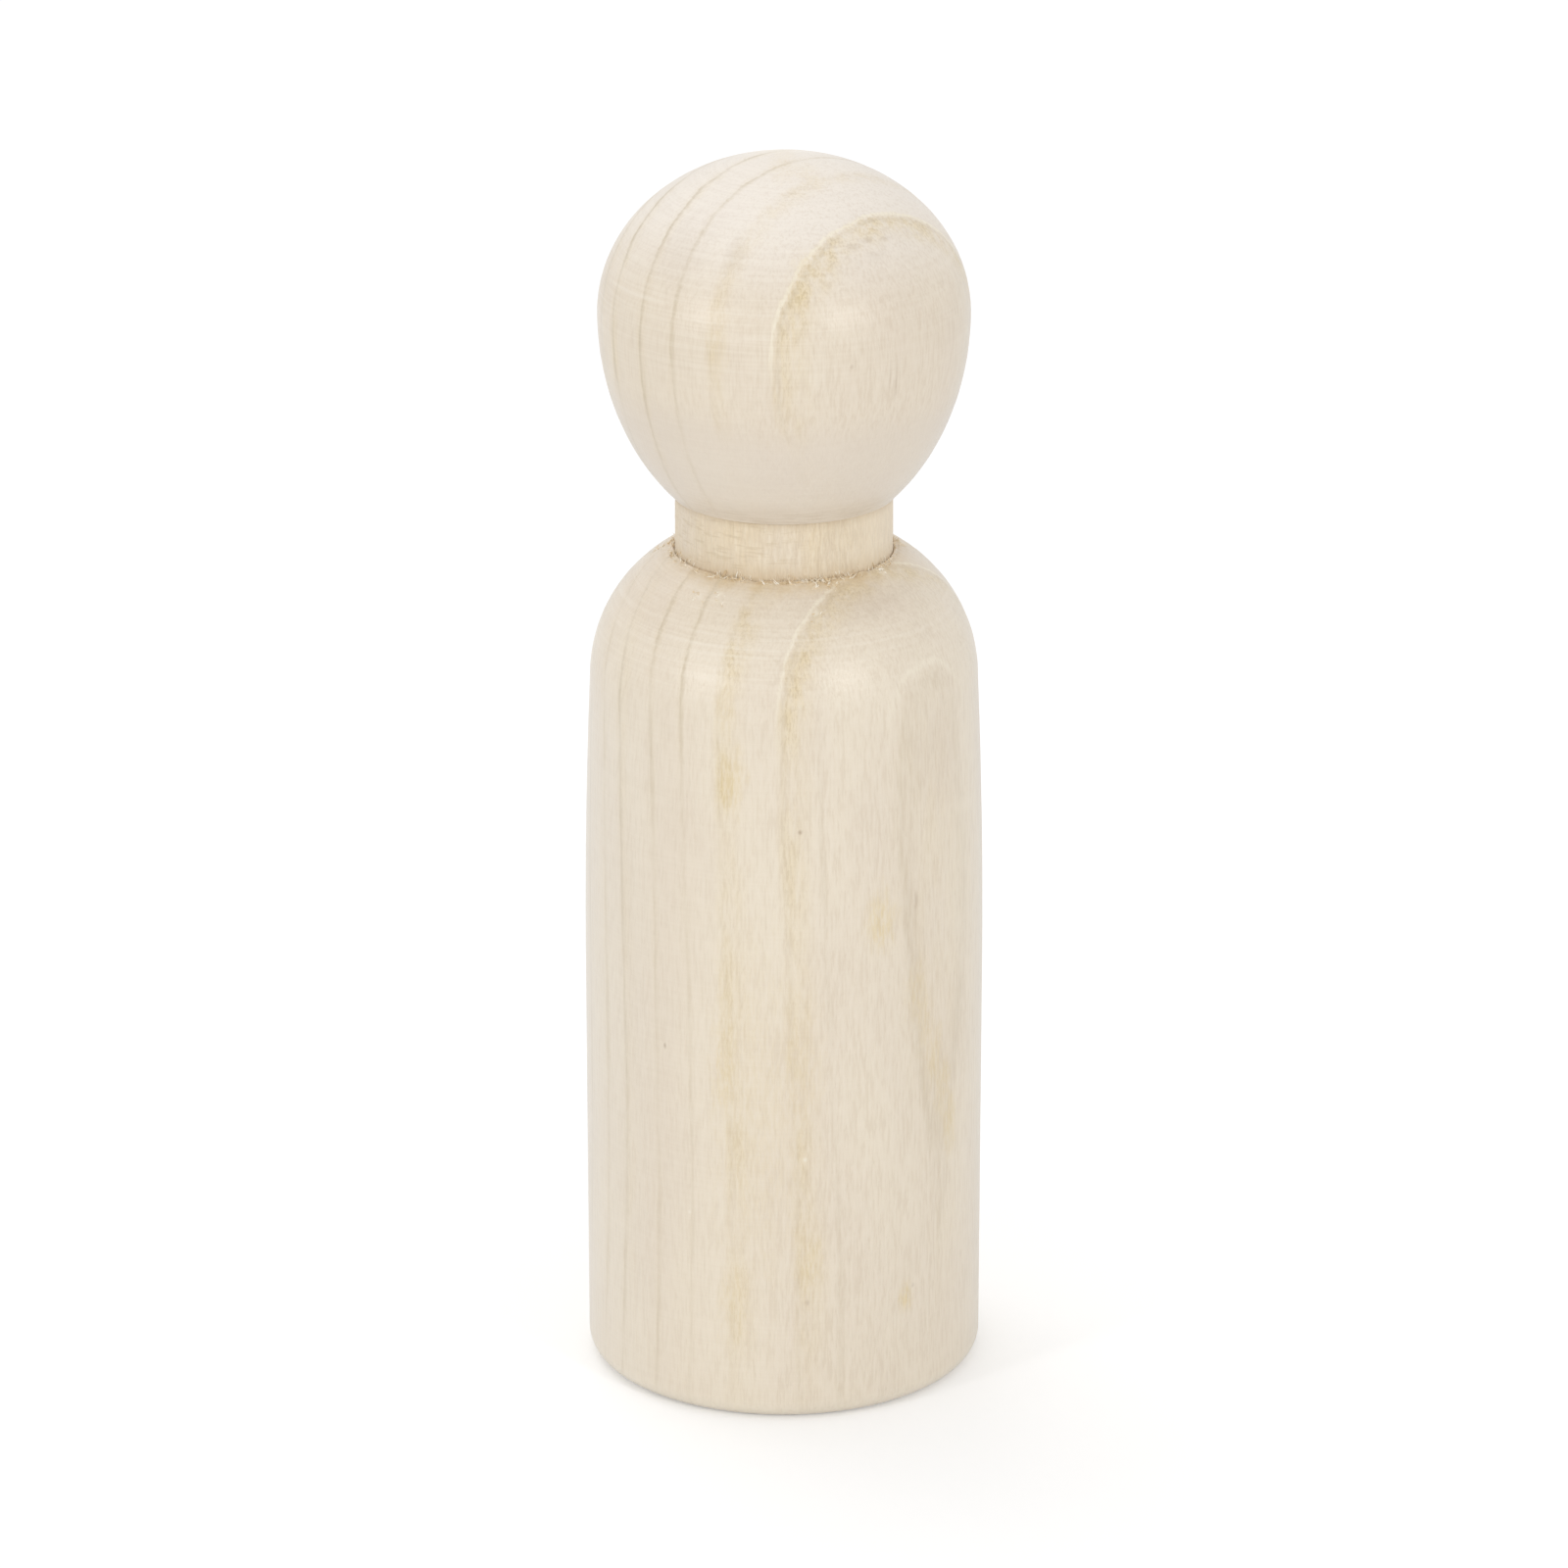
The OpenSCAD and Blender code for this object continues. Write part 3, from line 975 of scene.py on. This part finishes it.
def spot(turn, height, half_w, half_h, strength):
    """A soft ellipse on the side that faces the given way."""
    turn = np.radians(turn)
    s, c = float(np.sin(turn)), float(np.cos(turn))
    sideways = bench.plus(bench.times(x, c), bench.times(y, s))
    facing = bench.minus(bench.times(x, s), bench.times(y, c))
    w = bench.math("DIVIDE", sideways, half_w)
    h = bench.math("DIVIDE", bench.minus(z, height), half_h)
    far = bench.math("SQRT", bench.times_plus(w, w, bench.times(h, h)))
    soft = bench.ramp(bench.plus(far, rough_edge), 0.1, 1.35, strength, 0.0)
    return bench.times(soft, bench.math("GREATER_THAN", facing, -3.0))


patch, dark_speck, pale_speck = 0.0, 0.0, 0.0
for numbers in warm_patches:
    patch = bench.math("MAXIMUM", spot(*numbers), patch)
for turn, height, half_w, half_h, strength in specks:
    one_speck = spot(turn, height, half_w, half_h, abs(strength))
    if strength > 0:
        dark_speck = bench.math("MAXIMUM", one_speck, dark_speck)
    else:
        pale_speck = bench.math("MAXIMUM", one_speck, pale_speck)
bench.wire(patch, result["Patch"])
bench.wire(dark_speck, result["Dark speck"])
bench.wire(pale_speck, result["Pale speck"])
print("patch group:", len(patch_tree.nodes), "nodes")

# %% [markdown]
# ## The tone of the wood
# This group mixes the colour from the masks, from the broad ones to the fine ones: a
# cream ground with slow clouds and broad tones, then the warm bands, grey lines and
# pale edges of the rings, then patches, fibres, pores and specks. The ground and the
# amounts of rings and fibres are inputs, so the sanded and the unsanded wood can share
# the group and differ in their numbers.

# %% Group: wood tone
tone_tree, bench, given, result = new_group(
    "wood tone",
    {"Place": "vector", "Ground": "colour", "Ring amount": "value", "Fibre amount": "value"},
    {"Colour": "colour", "Fibre": "value", "Grain": "value", "Pores": "value", "Dust and painted glare": "value"})
rings = bench.group(rings_tree, Place=given["Place"])
fibres = bench.group(fibre_tree, Place=given["Place"])
patches = bench.group(patch_tree, Place=given["Place"])
grainy = bench.ramp(fibres["Grain"], 0.0, 1.0, 1.35, 0.45)
dashes = bench.ramp(fibres["Grain"], 0.45, 0.0)
ring_amount = given["Ring amount"]
fibre_amount = bench.times(given["Fibre amount"], fibres["Rough"])
band = bench.times(rings["Band"], ring_amount)
tone_layers = [
    # mask, amount, colour that is laid over
    (fibres["Cloud"], 1.0, (232, 219, 200)),
    (fibres["Sapwood"], 0.45, (236, 227, 212)),
    # the greyer underside of the head: rubbed wood and painted shade
    (fibres["Burnished and shaded"], 0.45, (224, 213, 201)),
    # a browner head, and painted shade on the shoulder under the head
    (fibres["Toned and shaded"], 0.22, (222, 206, 186)),
    # paler crown: dust on end grain and a painted glare
    (fibres["Dust and painted glare"], 0.60, (246, 240, 234)),
    (band, 0.17, (226, 201, 138)),
    (bench.times(band, dashes), 0.13, (172, 148, 104)),
    (bench.times(rings["Line"], ring_amount), 0.42, (198, 183, 156)),
    (bench.times(rings["Pale"], ring_amount), 0.60, (250, 242, 222)),
    (bench.times(patches["Patch"], grainy), 0.42, (225, 201, 140)),
    (bench.ramp(fibres["Fibre"], 0.5, 1.0), bench.times(fibre_amount, 0.7), (250, 241, 226)),
    (bench.ramp(fibres["Fibre"], 0.5, 0.0), fibre_amount, (202, 182, 156)),
    (fibres["Pores"], bench.times(fibre_amount, 0.5), (194, 172, 142)),
    (patches["Dark speck"], 0.55, (150, 122, 92)),
    (patches["Pale speck"], 0.60, (250, 244, 230)),
]
tone = given["Ground"]
for mask, amount, over in tone_layers:
    tone = bench.mix(bench.times(mask, amount, clamp=True), tone, colour(*over))
bench.wire(tone, result["Colour"])
for name in ("Fibre", "Grain", "Pores", "Dust and painted glare"):
    bench.wire(fibres[name], result[name])
print("tone group:", len(tone_tree.nodes), "nodes")

# %% [markdown]
# ## The burnished groove
# The point of the tool rubbed the wood where the neck meets the body, and dust stuck
# there, so a narrow ring round the groove is golden brown. Right at its foot it is
# darker here and there: brown dust, and a painted shade for the shadow inside the
# groove, which the mesh keeps shallow. The mask is the distance from the groove's own
# circle, broken up by noise, and the left side has less of it.

# %% Group: groove tint
groove_tree, bench, given, result = new_group(
    "groove tint", {"Place": "vector"}, {"Near": "value", "Deep and shaded": "value"})
x, y, z = bench.split(given["Place"])
groove_r, groove_z = (socket_r + lip_r) / 2, body_h - groove_depth / 2
aside = bench.minus(bench.from_axis(x, y), groove_r)
above = bench.minus(z, groove_z)
far = bench.math("SQRT", bench.plus(bench.times(aside, aside), bench.times(above, above)))
crumbs = bench.noise(given["Place"], (3.0, 3.0, 3.0), 3.0, 0.6)
far = bench.plus(far, bench.times_plus(crumbs, 1.2, -0.6))
blotches = bench.noise(given["Place"], (0.7, 0.7, 0.7), 2.0)
to_the_side = bench.ramp(bench.math("ABSOLUTE", x), 4.5, 8.0, 1.0, 0.35)
near = bench.times(bench.ramp(far, 0.0, 1.75, 1.0, 0.0), bench.ramp(blotches, 0.35, 0.6, 0.45, 1.0))
near = bench.times(near, to_the_side)
# the dark ring at the foot: brown dust and painted shade of the groove
deep_and_shaded = bench.times(bench.ramp(far, -0.2, 0.30, 1.0, 0.0),
                   bench.ramp(blotches, 0.42, 0.58, 0.15, 1.0))
deep_and_shaded = bench.times(deep_and_shaded, bench.ramp(x, -7.5, -1.0, 0.3, 1.0))
bench.wire(near, result["Near"])
bench.wire(deep_and_shaded, result["Deep and shaded"])
print("groove group:", len(groove_tree.nodes), "nodes")

# %% [markdown]
# ## Sanded wood
# The head and the body share one finish. The place is the Object coordinate in
# millimetres, so the rings run on from piece to piece. Roughness follows the fibres,
# with more of it on the dusty crown and in the groove, and a Bump node adds what is
# too fine for the mesh. The round edge at the base is painted paler, a painted light
# from the bright floor. Next to the neck the underside of the head is darkened in
# streaks, a painted shade.
# Sheen stands for the fuzz of fibres that sanding raised.

# %% Material: sanded wood
sanded, bench, shader, place = new_finish("sanded_wood")
amounts = {"Ground": colour(236, 224, 204), "Ring amount": 1.0, "Fibre amount": 0.18}
wood = bench.group(tone_tree, Place=place, **amounts)
groove = bench.group(groove_tree, Place=place)
marks = bench.group(lathe_tree, Place=place)
bright = bench.times(marks["Scratch"], 0.16, clamp=True)
dull = bench.times(marks["Scratch"], -0.08, clamp=True)
tone = bench.mix(bright, wood["Colour"], colour(250, 243, 230))
tone = bench.mix(dull, tone, colour(196, 180, 158))
tone = bench.mix(bench.times(groove["Near"], 0.70), tone, colour(217, 192, 149))
# the darkest ring at the groove's foot: brown dust, and painted shade of the groove
tone = bench.mix(bench.times(groove["Deep and shaded"], 0.62), tone, colour(178, 148, 106))
height = bench.split(place)[2]
# painted shade: the underside of the head is darkened in streaks next to the neck
under = bench.times(bench.ramp(height, head_base_z, head_base_z + 2.2, 1.0, 0.0),
                    bench.math("GREATER_THAN", height, head_base_z - 0.01))
shade_streaks = bench.noise(place, (0.35, 0.35, 4.5), 3.0, 0.6)
shade_streaks = bench.times(under, bench.ramp(shade_streaks, 0.42, 0.62, 0.10, 0.42))
tone = bench.mix(shade_streaks, tone, colour(192, 174, 148))
# painted light: the rounded edge of the base is paler, for the light the floor throws back
tone = bench.mix(bench.ramp(height, 1.9, 0.3, 0.0, 0.42), tone, colour(248, 240, 224))
bench.wire(tone, shader.inputs["Base Color"])
rough = bench.times_plus(wood["Fibre"], 0.08, 0.29)
rough = bench.times_plus(wood["Dust and painted glare"], 0.35, rough)
bench.wire(bench.times_plus(groove["Near"], 0.25, rough), shader.inputs["Roughness"])
relief = bench.times_plus(wood["Fibre"], 0.5, bench.times(marks["Ripple"], 0.25))
relief = bench.times_plus(wood["Pores"], -0.3, relief)
relief = bench.times_plus(marks["Scratch"], 0.06, relief)
bump = bench.add("ShaderNodeBump", {"Strength": 0.30, "Distance": 0.00008, "Height": relief})
bench.wire(bump.outputs[0], shader.inputs["Normal"])
shader.inputs["Specular IOR Level"].default_value = 0.5
shader.inputs["Sheen Weight"].default_value = 0.46
shader.inputs["Sheen Roughness"].default_value = 0.3
for piece in (body, head):
    piece.data.materials.append(sanded)
print("sanded wood:", len(sanded.node_tree.nodes), "nodes")

# %% [markdown]
# ## Unsanded wood
# The neck is the same wood with no sanding: yellower, since no dust paled it, with
# stronger fibres, weaker ring lines, and no gloss. On its left, where it was rubbed
# across the fibres, there are short level marks, and its right end is paler. Just
# under the head a painted shadow darkens it, and it is browner towards its foot.

# %% Material: unsanded wood
unsanded, bench, shader, place = new_finish("unsanded_wood")
amounts = {"Ground": colour(235, 217, 185), "Ring amount": 0.25, "Fibre amount": 0.24}
wood = bench.group(tone_tree, Place=place, **amounts)
groove = bench.group(groove_tree, Place=place)
x, y, z = bench.split(place)
to_the_right = bench.ramp(x, -3.0, 4.0, 0.4, 1.0)
lines = bench.times(bench.ramp(wood["Grain"], 0.45, 0.0, 0.0, 0.18), to_the_right)
tone = bench.mix(lines, wood["Colour"], colour(196, 174, 146))
tone = bench.mix(bench.ramp(wood["Grain"], 0.7, 1.0, 0.0, 0.20), tone, colour(248, 238, 218))
level = bench.noise(place, (0.7, 0.7, 4.0), 3.0, 0.6)
level = bench.times(bench.ramp(level, 0.50, 0.66, 0.0, 0.40), bench.ramp(x, -2.0, 3.0, 1.0, 0.2))
tone = bench.mix(level, tone, colour(206, 186, 152))
tone = bench.mix(bench.ramp(x, 3.8, 6.2, 0.0, 0.50), tone, colour(244, 230, 208))
# painted shadow on the neck just under the head
shadow_under_head = bench.ramp(z, head_base_z - 0.8, head_base_z, 0.0, 0.35)
tone = bench.mix(shadow_under_head, tone, colour(196, 174, 142))
# browner towards the foot of the neck
tone = bench.mix(bench.ramp(z, body_h + 1.6, body_h, 0.0, 0.25), tone, colour(208, 184, 146))
tone = bench.mix(bench.times(groove["Near"], 0.20), tone, colour(222, 198, 156))
# the groove's foot on the neck: brown dust, and painted shade of the groove
tone = bench.mix(bench.times(groove["Deep and shaded"], 0.35), tone, colour(186, 156, 114))
bench.wire(tone, shader.inputs["Base Color"])
bench.wire(bench.times_plus(wood["Fibre"], 0.2, 0.62), shader.inputs["Roughness"])
bump = bench.add("ShaderNodeBump", {"Strength": 0.5, "Distance": 0.00008, "Height": wood["Fibre"]})
bench.wire(bump.outputs[0], shader.inputs["Normal"])
shader.inputs["Specular IOR Level"].default_value = 0.3
shader.inputs["Sheen Weight"].default_value = 0.22
shader.inputs["Sheen Roughness"].default_value = 0.6
dowel.data.materials.append(unsanded)
print("unsanded wood:", len(unsanded.node_tree.nodes), "nodes")

# %% [markdown]
# ## Torn fibres
# A sliver that stands free of the wood is paler than the wood, because light shines
# through it, and no two are alike. A coarse noise in the same place in millimetres
# gives each sliver its own tone between straw and cream.

# %% Material: torn fibres
pale, bench, shader, place = new_finish("torn_fibres")
mottled = bench.ramp(bench.noise(place, (2.5, 2.5, 2.5)), 0.35, 0.65)
bench.wire(bench.mix(mottled, colour(226, 204, 166), colour(252, 246, 232)), shader.inputs["Base Color"])
bench.wire(bench.ramp(mottled, 0.0, 1.0, 0.55, 0.75), shader.inputs["Roughness"])
torn.data.materials.append(pale)
print("torn fibres:", len(pale.node_tree.nodes), "nodes")
